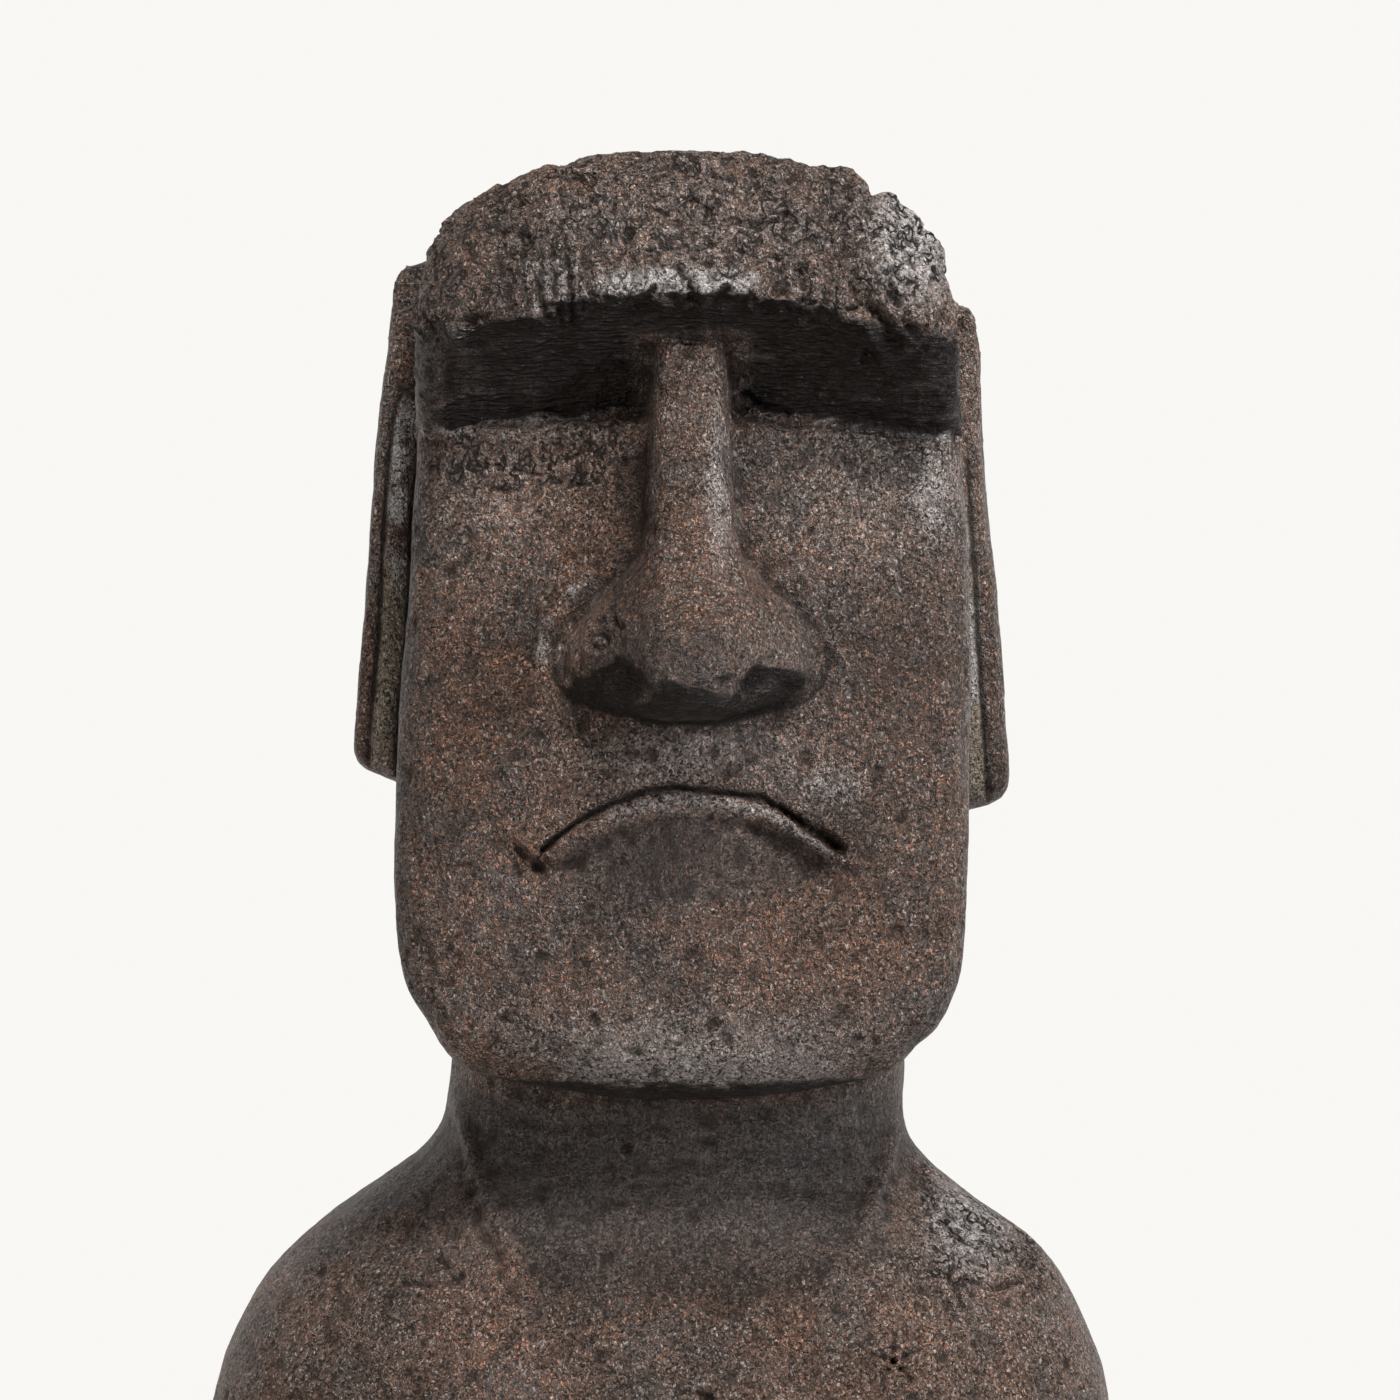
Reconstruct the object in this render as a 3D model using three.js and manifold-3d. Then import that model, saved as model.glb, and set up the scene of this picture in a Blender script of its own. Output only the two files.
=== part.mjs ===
// A moai bust for a garden or a room: a tall block head with a slab brow, a long nose, a thin
// mouth that turns down and long ears, on a short neck and broad plain shoulders. It is cast in
// one piece and stands on a flat underside. Millimetres, +Z up, the face looks along -Y, and the
// origin is the middle of the underside.
import * as THREE from "three";
import { LoftGeometry } from "three/addons/geometries/LoftGeometry.js";
import { mergeVertices } from "three/addons/utils/BufferGeometryUtils.js";
import Module from "manifold-3d";

const wasm = await Module();
wasm.setup();

// Driving dimensions. Heights are measured from the underside.
const BUST_HEIGHT = 620;
const JAW_HEIGHT = 233; // lowest point of the chin
const CREASE_HEIGHT = 514; // bottom of the eye hollow
const BROW_HEIGHT = 556.5; // lower edge of the brow slab
const MOUTH_HEIGHT = 361; // top of the mouth's arch
const NOSE_FOOT = 387.5; // underside of the nose's tip
const HEAD_HALF_WIDTH = 117; // beside the nose, where the head is widest
const SHOULDER_HALF_WIDTH = 193;
const STONE_COLOUR = 0x5a4e46;

// ---- Small helpers -------------------------------------------------------------------------

// A smooth curve through [position, value] stations, as a function of position.
function through(...stations) {
  const last = stations.length - 1;
  const slope = (i) => {
    const [p0, v0] = stations[Math.max(i - 1, 0)];
    const [p1, v1] = stations[Math.min(i + 1, last)];
    return (v1 - v0) / (p1 - p0);
  };
  return (position) => {
    const p = THREE.MathUtils.clamp(position, stations[0][0], stations[last][0]);
    const found = stations.findIndex(([edge]) => edge >= p);
    const i = Math.max(found, 1) - 1;
    const [pa, va] = stations[i];
    const [pb, vb] = stations[i + 1];
    const span = pb - pa;
    const t = (p - pa) / span;
    const rise = t * t * (3 - 2 * t);
    const bendIn = t * (1 - t) ** 2 * slope(i) * span;
    const bendOut = t * t * (t - 1) * slope(i + 1) * span;
    return va + (vb - va) * rise + bendIn + bendOut;
  };
}

// A number between -1 and 1 raised to a power, with its sign kept.
const signedPower = (value, power) => Math.sign(value) * Math.abs(value) ** power;

// A three.js geometry as a manifold-3d solid, with its shared vertices merged.
function solidOf(geometry) {
  const bare = new THREE.BufferGeometry();
  bare.setAttribute("position", geometry.getAttribute("position"));
  bare.setIndex(geometry.index);
  const merged = mergeVertices(bare, 1e-3);
  return new wasm.Manifold(
    new wasm.Mesh({
      numProp: 3,
      vertProperties: merged.attributes.position.array,
      triVerts: new Uint32Array(merged.index.array),
    }),
  );
}

// A manifold-3d solid as a three.js geometry.
function geometryOf(solid) {
  const mesh = solid.getMesh();
  const geometry = new THREE.BufferGeometry();
  geometry.setAttribute("position", new THREE.BufferAttribute(mesh.vertProperties, mesh.numProp));
  geometry.setIndex(new THREE.BufferAttribute(mesh.triVerts, 1));
  geometry.computeVertexNormals();
  return geometry;
}

// Moves each vertex of a geometry to where place(vertex) leaves it.
function reshape(geometry, place) {
  const position = geometry.getAttribute("position");
  const vertex = new THREE.Vector3();
  for (let i = 0; i < position.count; i++) {
    vertex.fromBufferAttribute(position, i);
    place(vertex);
    position.setXYZ(i, vertex.x, vertex.y, vertex.z);
  }
  return geometry;
}

// Lays a geometry drawn in X and Y and pushed along Z into Y and Z, pushed along X.
function layAlongX(geometry) {
  const toY = new THREE.Vector3(0, 1, 0);
  const toZ = new THREE.Vector3(0, 0, 1);
  const toX = new THREE.Vector3(1, 0, 0);
  return geometry.applyMatrix4(new THREE.Matrix4().makeBasis(toY, toZ, toX));
}

// An egg-shaped lump, as a solid.
function lump(centre, radii) {
  const geometry = new THREE.SphereGeometry(1, 16, 12);
  geometry.rotateX(Math.PI / 2);
  geometry.scale(...radii);
  geometry.translate(...centre);
  return solidOf(geometry);
}

// ---- Head block: a tall rounded block, lofted from the jaw's underside to the crown ---------

const JAW_ROUND = 24;
const JAW_RISE = 19; // the jaw's edge rises by this from the chin to its corners
const CROWN_ROUND = 8;
const CROWN_HALF_WIDTH = 109;
const CROWN_DROP = 40; // the crown's edge falls by this from its middle to its corners
const CROWN_FALL = 0.05; // and by this much for each millimetre towards the back
const FACE_BOW = 9; // the face's sides lie this far behind its middle
const FACE_ROUND = 16; // radius of the block's front corners
const NAPE_ROUND = 38; // radius of its back corners
const FACE_STEPS = 18;
const CORNER_STEPS = 4;
const SIDE_STEPS = 4;
const NAPE_STEPS = 5;
const WALL_ROWS = 24;

const headHalfWidth = through(
  [233, 105],
  [246, 105.5],
  [258, 109],
  [275, 113.7],
  [296, 115.8],
  [380, HEAD_HALF_WIDTH],
  [424, 116],
  [465, 114.3],
  [515, 111],
  [560, 109],
  [590, 107.5],
  [620, 106],
);
const headMiddle = through([233, 9.5], [335, 9.2], [380, 10], [424, 11.7], [500, 12.2], [620, 11]);
const faceFront = through(
  [233, 112],
  [265, 118],
  [305, 119],
  [350, 116],
  [400, 109],
  [460, 100],
  [500, 94],
  [514, 98],
  [540, 118],
  [557, 123],
  [590, 113],
  [620, 98],
);
const napeBack = through([233, 84], [350, 94], [500, 96], [620, 86]);

// The block's outline at one height, as [x, y] points that run anticlockwise from above.
function blockOutline(halfWidth, front, back, frontRound, backRound) {
  const points = [];
  const edge = (x0, y0, x1, y1, steps) => {
    for (let i = 1; i < steps; i++) {
      const share = i / steps;
      points.push([THREE.MathUtils.lerp(x0, x1, share), THREE.MathUtils.lerp(y0, y1, share)]);
    }
  };
  const corner = (x, y, radius, start) => {
    for (let i = 0; i <= CORNER_STEPS; i++) {
      const angle = start + ((i / CORNER_STEPS) * Math.PI) / 2;
      points.push([x + radius * Math.cos(angle), y + radius * Math.sin(angle)]);
    }
  };
  const faceX = halfWidth - frontRound;
  const napeX = halfWidth - backRound;
  edge(-faceX, -front, faceX, -front, FACE_STEPS);
  corner(faceX, frontRound - front, frontRound, -Math.PI / 2);
  edge(halfWidth, frontRound - front, halfWidth, back - backRound, SIDE_STEPS);
  corner(napeX, back - backRound, backRound, 0);
  edge(napeX, back, -napeX, back, NAPE_STEPS);
  corner(-napeX, back - backRound, backRound, Math.PI / 2);
  edge(-halfWidth, back - backRound, -halfWidth, frontRound - front, SIDE_STEPS);
  corner(-faceX, frontRound - front, frontRound, Math.PI);
  return points;
}

// One ring of the loft: the outline at a height, drawn in by inset, then bowed and arched.
function headRing(height, inset) {
  const halfWidth = headHalfWidth(height) - inset;
  const front = faceFront(height) - inset;
  const back = napeBack(height) - inset;
  const frontRound = Math.max(FACE_ROUND - inset, 4);
  const backRound = Math.max(NAPE_ROUND - inset, 4);
  const jawShare = 1 - THREE.MathUtils.smoothstep(height, JAW_HEIGHT, JAW_HEIGHT + 75);
  const crownShare = THREE.MathUtils.smoothstep(height, CREASE_HEIGHT + 20, BUST_HEIGHT);
  return blockOutline(halfWidth, front, back, frontRound, backRound).map(([x, y]) => {
    const aside = Math.abs(x) / HEAD_HALF_WIDTH;
    const frontShare = THREE.MathUtils.smoothstep(-y / front, 0.5, 1);
    const crownEdge = CROWN_DROP * (Math.abs(x) / CROWN_HALF_WIDTH) ** 3;
    const crownBack = CROWN_FALL * (y + front);
    const z = height + jawShare * JAW_RISE * aside ** 2 - crownShare * (crownEdge + crownBack);
    return new THREE.Vector3(x + headMiddle(height), y + FACE_BOW * aside ** 2 * frontShare, z);
  });
}

function headBlock() {
  const rings = [headRing(JAW_HEIGHT + 2, 66), headRing(JAW_HEIGHT + 1, 44)];
  const jawSteps = 5;
  for (let i = 0; i <= jawSteps; i++) {
    const angle = ((i / jawSteps) * Math.PI) / 2;
    const height = JAW_HEIGHT + JAW_ROUND * (1 - Math.cos(angle));
    rings.push(headRing(height, JAW_ROUND * (1 - Math.sin(angle))));
  }
  const wallFoot = JAW_HEIGHT + JAW_ROUND;
  const wallTop = BUST_HEIGHT - CROWN_ROUND;
  for (let i = 1; i < WALL_ROWS; i++) {
    rings.push(headRing(THREE.MathUtils.lerp(wallFoot, wallTop, i / WALL_ROWS), 0));
  }
  const crownSteps = 3;
  for (let i = 0; i <= crownSteps; i++) {
    const angle = ((i / crownSteps) * Math.PI) / 2;
    const height = wallTop + CROWN_ROUND * Math.sin(angle);
    rings.push(headRing(height, CROWN_ROUND * (1 - Math.cos(angle))));
  }
  rings.push(headRing(BUST_HEIGHT, 34), headRing(BUST_HEIGHT, 70));
  return solidOf(new LoftGeometry(rings, { capStart: true, capEnd: true }));
}

// ---- Eye hollow: a slanting cut under the brow, from one side of the face to the other ------

const HOLLOW_LEFT = -87.5; // closed by a lip at this end
const HOLLOW_RIGHT = 142; // runs out through the side of the head at the other
const CREASE_DEPTH = 82;
const BROW_DEPTH = 120;
const CLEAR_DEPTH = 180; // well in front of the face
const LEDGE_SLOPE = 0.65; // of the narrow ledge below the crease
const HOLLOW_STEPS = 22;
const browDrop = through(
  [-90, 8.5],
  [-53, 7.5],
  [-32, 2.5],
  [0, 0],
  [40, 1],
  [80, 9.5],
  [98, 11.5],
  [111, 14],
  [142, 18],
);
const creaseDrop = through([-90, 6.5], [-65, 2.7], [-10, -1], [33, -2], [78, 3.5], [142, 13]);

function eyeHollow() {
  const section = new THREE.Shape([
    new THREE.Vector2(-CREASE_DEPTH, CREASE_HEIGHT),
    new THREE.Vector2(-CREASE_DEPTH - 16, CREASE_HEIGHT + 23),
    new THREE.Vector2(-BROW_DEPTH, BROW_HEIGHT),
    new THREE.Vector2(-CLEAR_DEPTH, BROW_HEIGHT + 6),
    new THREE.Vector2(-CLEAR_DEPTH, CREASE_HEIGHT - LEDGE_SLOPE * (CLEAR_DEPTH - CREASE_DEPTH)),
  ]);
  const depth = HOLLOW_RIGHT - HOLLOW_LEFT;
  const settings = { depth, steps: HOLLOW_STEPS, bevelEnabled: false };
  const geometry = layAlongX(new THREE.ExtrudeGeometry(section, settings));
  geometry.translate(HOLLOW_LEFT, 0, 0);
  reshape(geometry, (v) => {
    const share = THREE.MathUtils.smoothstep(v.z, CREASE_HEIGHT, BROW_HEIGHT);
    v.z -= THREE.MathUtils.lerp(creaseDrop(v.x), browDrop(v.x), share);
  });
  return solidOf(geometry);
}

// ---- Nose: a straight bridge that swells to a ball between two wings, with two nostrils -----

const NOSE_MIDDLE = 13;
const NOSE_ROOT = 539;
const NOSE_BACK = 66; // inside the head
const BALL_WIDTH = 27;
const NOSE_STEPS = 22;
const NOSE_ROWS = 17;
const NOSTRIL_FRONT = -139;
const NOSTRILS = [
  { x: -29, z: 401, radii: [11.5, 7, 9] },
  { x: 31, z: 400, radii: [12.5, 7, 7] },
];
const noseHalfWidth = through(
  [387.5, 13],
  [390.5, 24],
  [393, 38],
  [396, 47],
  [402, 53],
  [411, 55.5],
  [420, 54.5],
  [431, 47.5],
  [440, 37.5],
  [448, 28],
  [456, 22.5],
  [476, 20],
  [511, 18.3],
  [539, 17],
);
const ballFront = through(
  [387.5, 136],
  [391, 149],
  [400, 157],
  [412, 158],
  [430, 149],
  [450, 134],
  [470, 125],
  [500, 117],
  [539, 111],
);
const wingFront = through(
  [387.5, 104],
  [391, 116],
  [400, 128],
  [412, 131],
  [426, 128],
  [440, 121],
  [455, 118],
  [480, 118],
  [510, 113],
  [539, 107],
);

function noseRing(height) {
  const halfWidth = noseHalfWidth(height);
  const wing = wingFront(height);
  const ball = ballFront(height);
  const ring = [];
  for (let i = 0; i <= NOSE_STEPS; i++) {
    const across = Math.sin((i / NOSE_STEPS - 0.5) * Math.PI);
    const x = halfWidth * across;
    const front = THREE.MathUtils.lerp(wing, ball, Math.exp(-(Math.abs(x / BALL_WIDTH) ** 3.2)));
    const edge = Math.sqrt(1 - Math.abs(across) ** 5);
    ring.push(new THREE.Vector3(NOSE_MIDDLE + x, -NOSE_BACK - (front - NOSE_BACK) * edge, height));
  }
  ring.push(new THREE.Vector3(NOSE_MIDDLE, -NOSE_BACK + 1, height));
  return ring;
}

function nose() {
  const rings = [];
  for (let i = 0; i <= NOSE_ROWS; i++) {
    const share = (i / NOSE_ROWS) ** 1.6; // the rows are close where the ball curves most
    rings.push(noseRing(THREE.MathUtils.lerp(NOSE_FOOT, NOSE_ROOT, share)));
  }
  let solid = solidOf(new LoftGeometry(rings, { capStart: true, capEnd: true }));
  for (const { x, z, radii } of NOSTRILS) {
    solid = solid.subtract(lump([NOSE_MIDDLE + x, NOSTRIL_FRONT, z], radii));
  }
  return solid;
}

// ---- Mouth: a thin line that turns down, over a narrow lower lip ----------------------------

const MOUTH_MIDDLE = 14.5;
const MOUTH_HALF_WIDTH = 63;
const MOUTH_DROP = 27;
const MOUTH_STEPS = 16;

// A round rod along the mouth's arch, lifted by rise and standing forward of the face by stand.
function mouthRod(halfWidth, rise, stand, radius) {
  const arch = new THREE.Curve();
  arch.getPoint = (t, target = new THREE.Vector3()) => {
    const x = THREE.MathUtils.lerp(-halfWidth, halfWidth, t);
    const z = MOUTH_HEIGHT + rise - MOUTH_DROP * (Math.abs(x) / MOUTH_HALF_WIDTH) ** 1.9;
    const y = -faceFront(z) - stand + FACE_BOW * (x / HEAD_HALF_WIDTH) ** 2;
    return target.set(MOUTH_MIDDLE + x, y, z);
  };
  const section = new THREE.Shape();
  section.absarc(0, 0, radius, 0, Math.PI * 2);
  return solidOf(new THREE.ExtrudeGeometry(section, {
    extrudePath: arch,
    steps: MOUTH_STEPS,
    curveSegments: 8,
    bevelEnabled: false,
  }));
}

// ---- Ears: long slabs on the sides of the head, with a shallow hollow in the outer face -----

const EAR_ROOT = 88; // where the slab starts, inside the head
const EAR_THICK = 40;
const EAR_BEVEL = 6;
const EAR_HOLLOW = 4;
const EAR_LENGTH = 235;
const EAR_SHOULDER = 8; // the top falls by this from the slab's root to its outer face
const EAR_SLANT = 16; // and the bottom rises by this
const LEFT_EAR = {
  side: -1,
  top: 587,
  outer: through([357, 130.5], [396, 128], [437, 125], [494, 121], [518, 119], [559, 115.5], [590, 111]),
};
const RIGHT_EAR = {
  side: 1,
  top: 572,
  outer: through([345, 148], [380, 146.5], [396, 144], [441, 141], [496, 136.5], [545, 137], [575, 133]),
};

// The ear seen from the side: forward and back, and the depth below its top.
function earOutline() {
  const outline = new THREE.Shape();
  outline.moveTo(-10, 0);
  outline.bezierCurveTo(-18, -2, -21, -10, -21, -24);
  outline.lineTo(-23, -56);
  outline.lineTo(-28, -62);
  outline.bezierCurveTo(-31, -110, -34, -170, -37, -214);
  outline.bezierCurveTo(-37, -226, -32, -235, -22, -EAR_LENGTH);
  outline.lineTo(12, -229);
  outline.bezierCurveTo(20, -227, 24, -219, 24, -204);
  outline.bezierCurveTo(24, -140, 22, -60, 20, -18);
  outline.bezierCurveTo(19, -6, 12, 0, 2, 1);
  outline.closePath();
  return outline;
}

function earHollow() {
  const outline = new THREE.Shape();
  outline.moveTo(-6, -24);
  outline.bezierCurveTo(-13, -60, -19, -120, -21, -166);
  outline.bezierCurveTo(-19, -180, 8, -180, 11, -166);
  outline.bezierCurveTo(11, -110, 11, -60, 9, -24);
  outline.bezierCurveTo(7, -14, -3, -14, -6, -24);
  return outline;
}

// A side outline as a slab on one side of the head, between two distances from the middle.
function besideHead(outline, { side, top }, inner, outer, bevel) {
  const geometry = new THREE.ExtrudeGeometry(outline, {
    depth: EAR_THICK - bevel,
    curveSegments: 4,
    bevelEnabled: bevel > 0,
    bevelSize: bevel,
    bevelOffset: -bevel,
    bevelThickness: bevel,
    bevelSegments: 2,
  });
  layAlongX(geometry);
  geometry.translate(side < 0 ? bevel - EAR_THICK : 0, 0, top);
  reshape(geometry, (v) => {
    const share = (side * v.x) / EAR_THICK;
    v.x = side * THREE.MathUtils.lerp(inner(v.z), outer(v.z), share);
    v.z += share * THREE.MathUtils.mapLinear(v.z, top, top - EAR_LENGTH, -EAR_SHOULDER, EAR_SLANT);
  });
  return solidOf(geometry);
}

function ear(which) {
  const slab = besideHead(earOutline(), which, () => EAR_ROOT, which.outer, EAR_BEVEL);
  const hollowFloor = (z) => which.outer(z) - EAR_HOLLOW;
  const hollowMouth = (z) => which.outer(z) + EAR_THICK;
  return slab.subtract(besideHead(earHollow(), which, hollowFloor, hollowMouth, 0));
}

// ---- Neck, shoulders and chest: one loft from the flat underside up into the head -----------

const BODY_POINTS = 44;
const BODY_ROWS = 26;
const BODY_TOP = 252; // inside the head
const FOOT_EDGE = 4; // small round along the underside's edge

const bodyHalfWidth = through(
  [0, 187],
  [45, SHOULDER_HALF_WIDTH],
  [80, SHOULDER_HALF_WIDTH],
  [99, 191],
  [112, 188.5],
  [124, 184],
  [137, 178],
  [150, 169.5],
  [163, 157],
  [176, 142],
  [189, 124],
  [202, 107.5],
  [215, 99],
  [252, 97.5],
);
const bodyMiddle = through([0, 0], [124, 0], [189, 1], [202, 3.3], [215, 5], [252, 8]);
const bodyFront = through(
  [0, 112],
  [80, 116],
  [125, 111],
  [160, 99],
  [195, 82],
  [220, 74],
  [252, 72],
);
const bodyBack = through(
  [0, 108],
  [80, 112],
  [125, 108],
  [160, 100],
  [195, 90],
  [220, 84],
  [252, 82],
);
const bodySquareness = through([0, 3.2], [80, 3], [125, 2.6], [190, 2.3], [252, 2.4]);

function bodyRing(height, inset) {
  const power = 2 / bodySquareness(height);
  const ring = [];
  for (let i = 0; i < BODY_POINTS; i++) {
    const angle = (i / BODY_POINTS) * Math.PI * 2;
    const across = signedPower(Math.cos(angle), power);
    const along = signedPower(Math.sin(angle), power);
    const reach = along < 0 ? bodyFront(height) : bodyBack(height);
    ring.push(new THREE.Vector3(
      bodyMiddle(height) + (bodyHalfWidth(height) - inset) * across,
      (reach - inset) * along,
      height,
    ));
  }
  return ring;
}

function body() {
  const rings = [bodyRing(0, FOOT_EDGE)];
  for (let i = 0; i <= BODY_ROWS; i++) {
    const share = (i / BODY_ROWS) ** 0.75; // the rows are close where the shoulders turn
    rings.push(bodyRing(THREE.MathUtils.lerp(FOOT_EDGE, BODY_TOP, share), 0));
  }
  return solidOf(new LoftGeometry(rings, { capStart: true, capEnd: true }));
}

// ---- Bust ----------------------------------------------------------------------------------

function bust() {
  const lowerLip = mouthRod(MOUTH_HALF_WIDTH - 5, -5.5, -1.5, 6);
  const mouthLine = mouthRod(MOUTH_HALF_WIDTH, 0, 0.5, 2.4);
  return body()
    .add(headBlock())
    .subtract(eyeHollow())
    .add(nose())
    .add(lowerLip)
    .subtract(mouthLine)
    .add(ear(LEFT_EAR))
    .add(ear(RIGHT_EAR));
}

const stone = new THREE.MeshStandardMaterial({
  color: STONE_COLOUR,
  roughness: 0.6,
  metalness: 0,
});
const moaiBust = new THREE.Mesh(geometryOf(bust()), stone);
moaiBust.name = "moai_bust";

// The box of the whole bust is centred on the origin, which lies on the underside.
const box = new THREE.Box3().setFromObject(moaiBust);
const middle = box.getCenter(new THREE.Vector3());
moaiBust.position.set(-middle.x, -middle.y, -box.min.z);

const moai = new THREE.Group();
moai.add(moaiBust);

export default moai;
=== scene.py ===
# A moai bust, cast in one piece with a sandy coat, in a plain pale studio.
import itertools
import math

import bmesh
import bpy
import numpy as np
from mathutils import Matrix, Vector

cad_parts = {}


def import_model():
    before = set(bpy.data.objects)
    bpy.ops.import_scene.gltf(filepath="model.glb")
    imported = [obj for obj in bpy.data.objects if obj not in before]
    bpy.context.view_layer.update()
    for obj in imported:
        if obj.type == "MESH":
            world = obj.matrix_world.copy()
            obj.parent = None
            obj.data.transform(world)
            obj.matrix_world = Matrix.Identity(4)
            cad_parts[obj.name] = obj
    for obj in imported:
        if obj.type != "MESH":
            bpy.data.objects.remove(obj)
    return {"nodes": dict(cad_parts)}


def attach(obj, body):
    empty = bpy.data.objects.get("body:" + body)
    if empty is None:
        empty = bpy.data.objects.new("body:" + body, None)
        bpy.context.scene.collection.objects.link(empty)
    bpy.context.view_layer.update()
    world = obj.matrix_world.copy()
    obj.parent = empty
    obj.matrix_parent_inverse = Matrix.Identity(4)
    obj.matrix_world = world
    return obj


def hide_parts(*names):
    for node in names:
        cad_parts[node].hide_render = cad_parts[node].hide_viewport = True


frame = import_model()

scene = bpy.context.scene
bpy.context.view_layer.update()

# ---- Bust ------------------------------------------------------------------------------------
# Head, ears, nose, neck and shoulders are one hollow cast of mineral powder and resin. The mould
# was taken from a roughly hewn block: chipped brow and crown, tool marks, cracks and small pits.

MM = 0.001
MIDDLE = np.array([0.1, 23.3, 0.0])  # from the design's axes to the middle of the underside, mm
VOXEL = 1.5 * MM
FACES = 192000
NOSE_X = 13  # the nose stands a little to the right of the middle


def read_points(mesh):
    flat = np.empty(len(mesh.vertices) * 3)
    mesh.vertices.foreach_get("co", flat)
    return flat.reshape(-1, 3) / MM - MIDDLE


def write_points(mesh, points):
    mesh.vertices.foreach_set("co", ((points + MIDDLE) * MM).ravel())
    mesh.update()


def read_normals(mesh):
    flat = np.empty(len(mesh.vertices) * 3)
    mesh.vertex_normals.foreach_get("vector", flat)
    return flat.reshape(-1, 3)


def bake_modifiers(piece):
    depsgraph = bpy.context.evaluated_depsgraph_get()
    baked = bpy.data.meshes.new_from_object(piece.evaluated_get(depsgraph))
    piece.modifiers.clear()
    piece.data = baked


def read_edges(mesh):
    """Every edge both ways, as its ends and starts, and how many edges meet at each point."""
    edges = np.empty(len(mesh.edges) * 2, dtype=np.int64)
    mesh.edges.foreach_get("vertices", edges)
    first, second = edges.reshape(-1, 2).T
    ends = np.concatenate([first, second])
    starts = np.concatenate([second, first])
    return ends, starts, np.bincount(ends, minlength=len(mesh.vertices))


def relax(mesh, points, keep, passes):
    """Evens points out towards their neighbours, least where keep is 1."""
    ends, starts, count = read_edges(mesh)
    pull = (0.5 * (1 - keep))[:, None]
    for _ in range(passes):
        sums = [np.bincount(ends, points[starts, axis], len(points)) for axis in range(3)]
        points = points + pull * (np.stack(sums, axis=1) / count[:, None] - points)
    return points


def ramp(low, high, value):
    share = np.clip((value - low) / (high - low), 0, 1)
    return share * share * (3 - 2 * share)


def hump(distance, width):
    return np.exp(-((distance / width) ** 2))


def lattice(along, across, up, seed):
    """A fixed number from 0 to 1 for each whole-numbered place."""
    key = along * 73856093 ^ across * 19349663 ^ up * 83492791 ^ seed * 2654435
    key = (key ^ (key >> 13)) * 1274126177 & 0x7FFFFFFF
    key = (key ^ (key >> 16)) * 668265263 & 0x7FFFFFFF
    return (key & 0xFFFF) / 65536


def swell(points, size, seed, layers=1):
    """Soft lumps from -1 to 1, each about size across, with finer layers at half the height."""
    total = np.zeros(len(points))
    for layer in range(layers):
        place = points.T / size * 2**layer + 17.3 * seed
        cell = np.floor(place)
        share = place - cell
        share = share * share * (3 - 2 * share)
        cell = cell.astype(np.int64)
        for corner in itertools.product((0, 1), repeat=3):
            weight = 1.0
            for axis, far in enumerate(corner):
                weight = weight * (share[axis] if far else 1 - share[axis])
            there = [cell[axis] + far for axis, far in enumerate(corner)]
            total += weight * (lattice(*there, seed + layer) * 2 - 1) / 2**layer
    return total


def shards(points, size, seed):
    """Broken pieces about size across: how far inside each point is, and its piece's number."""
    place = points.T / size + 9.1 * seed
    cell = np.floor(place).astype(np.int64)
    near = np.full(len(points), 9.0)
    second = near.copy()
    number = np.zeros(len(points))
    for step in itertools.product((-1, 0, 1), repeat=3):
        there = [cell[axis] + step[axis] for axis in range(3)]
        away = 0.0
        for axis in range(3):
            away = away + (there[axis] + lattice(*there, seed + axis) - place[axis]) ** 2
        away = np.sqrt(away)
        closer = away < near
        second = np.where(closer, near, np.minimum(second, away))
        number = np.where(closer, lattice(*there, seed + 7), number)
        near = np.minimum(near, away)
    return second - near, number


def trail(points, path):
    """How far each point is from the line through path's (x, z) corners, seen from the front."""
    spot = points[:, [0, 2]]
    nearest = np.full(len(points), 1e9)
    corners = np.array(path, dtype=float)
    for start, step in zip(corners, np.diff(corners, axis=0)):
        share = np.clip((spot - start) @ step / (step @ step), 0, 1)
        away = np.linalg.norm(spot - start - share[:, None] * step, axis=1)
        nearest = np.minimum(nearest, away)
    return nearest


def furrow(points, path, width, depth, lip=0.0):
    """A cut along path, with its lifted edges; a negative depth is a ridge."""
    away = trail(points, path)
    return lip * hump(away - 1.9 * width, 0.8 * width) - depth * hump(away, width)


def oval_from(points, middle, reach):
    """How far out each point is, seen from the front: 1 on an oval with this reach each way."""
    return np.hypot((points[:, 0] - middle[0]) / reach[0], (points[:, 2] - middle[1]) / reach[1])


def shaken(points, size, reach, seed):
    """The points moved about by up to reach, which makes straight lines wander."""
    return points + reach * np.stack([swell(points, size, seed + i, 2) for i in range(3)], axis=1)


bust = bpy.data.objects.new("moai_stone", frame["nodes"]["moai_bust"].data.copy())
scene.collection.objects.link(bust)
cast = bmesh.new()
cast.from_mesh(bust.data)
bmesh.ops.remove_doubles(cast, verts=cast.verts, dist=0.01 * MM)
cast.to_mesh(bust.data)
cast.free()
remesh = bust.modifiers.new("even skin", "REMESH")
remesh.mode = "VOXEL"
remesh.voxel_size = VOXEL
bake_modifiers(bust)

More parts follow.
